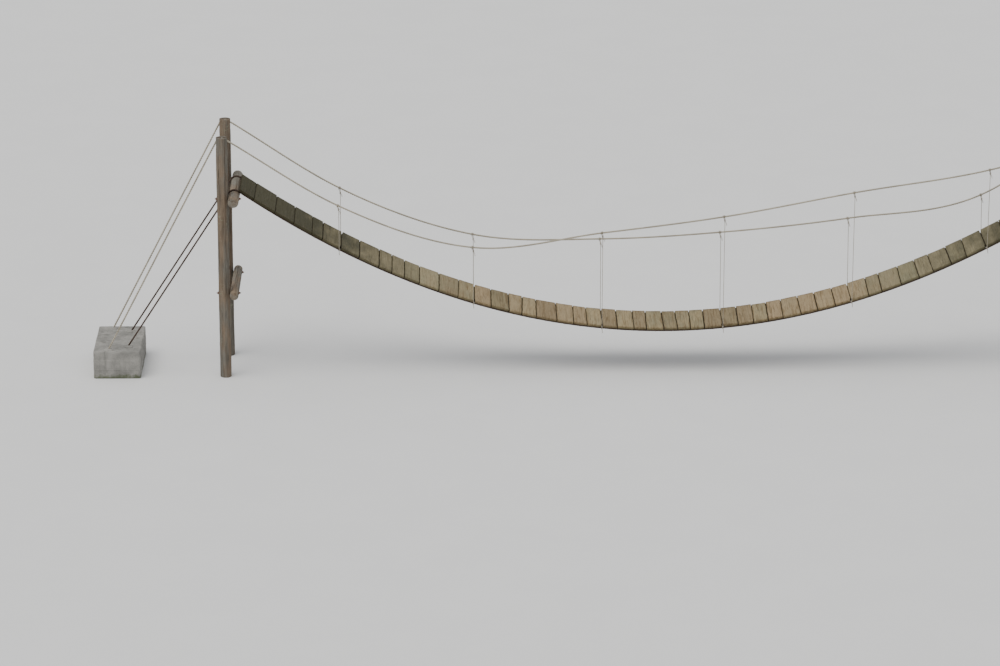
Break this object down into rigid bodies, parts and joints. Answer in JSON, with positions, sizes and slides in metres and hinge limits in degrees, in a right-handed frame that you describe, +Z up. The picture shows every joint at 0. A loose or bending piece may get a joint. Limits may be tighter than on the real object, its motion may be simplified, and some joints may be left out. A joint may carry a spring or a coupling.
{
  "type": "rope suspension footbridge",
  "caption": "Narrow sagging footbridge of crosswise boards on deck cables, with hand ropes tied down to them, log end frames and anchor blocks.",
  "frame": {"origin": "on the floor under the middle of the bridge, the bottom centre of its box", "axes": "+X along the bridge towards its right end, -Y towards its near side, +Z up"},
  "size_m": [16.92, 1.44, 3.69],
  "materials": {
    "deck_board": "bleached, weathered sawn boards, pale pinkish brown to grey",
    "deck_cable": "dark wire rope with brown rust",
    "hand_rope": "pale grey-tan laid rope, weathered",
    "tie_cord": "thin pale cord, weathered",
    "log_timber": "peeled round logs, grey-brown and weathered",
    "anchor_concrete": "rough cast concrete, grey, stained"
  },
  "bodies": {
    "root": {"deck_bay_01": "deck_board", "deck_bay_02": "deck_board", "deck_bay_03": "deck_board", "deck_bay_04": "deck_board", "deck_bay_05": "deck_board", "deck_bay_06": "deck_board", "deck_bay_07": "deck_board", "deck_bay_08": "deck_board", "deck_bay_09": "deck_board", "deck_bay_10": "deck_board", "deck_bay_11": "deck_board", "deck_bay_12": "deck_board", "deck_bay_13": "deck_board", "deck_cable_near": "deck_cable", "deck_cable_far": "deck_cable", "hand_rope_near": "hand_rope", "rope_tie_near_1": "tie_cord", "rope_tie_near_2": "tie_cord", "rope_tie_near_3": "tie_cord", "rope_tie_near_4": "tie_cord", "rope_tie_near_5": "tie_cord", "rope_tie_near_6": "tie_cord", "hand_rope_far": "hand_rope", "rope_tie_far_1": "tie_cord", "rope_tie_far_2": "tie_cord", "rope_tie_far_3": "tie_cord", "rope_tie_far_4": "tie_cord", "rope_tie_far_5": "tie_cord", "rope_tie_far_6": "tie_cord", "post_left_near": "log_timber", "post_left_far": "log_timber", "deck_sill_left": "log_timber", "lower_log_left": "log_timber", "anchor_block_left": "anchor_concrete", "post_right_near": "log_timber", "post_right_far": "log_timber", "deck_sill_right": "log_timber", "lower_log_right": "log_timber", "anchor_block_right": "anchor_concrete"}
  },
  "joints": []
}
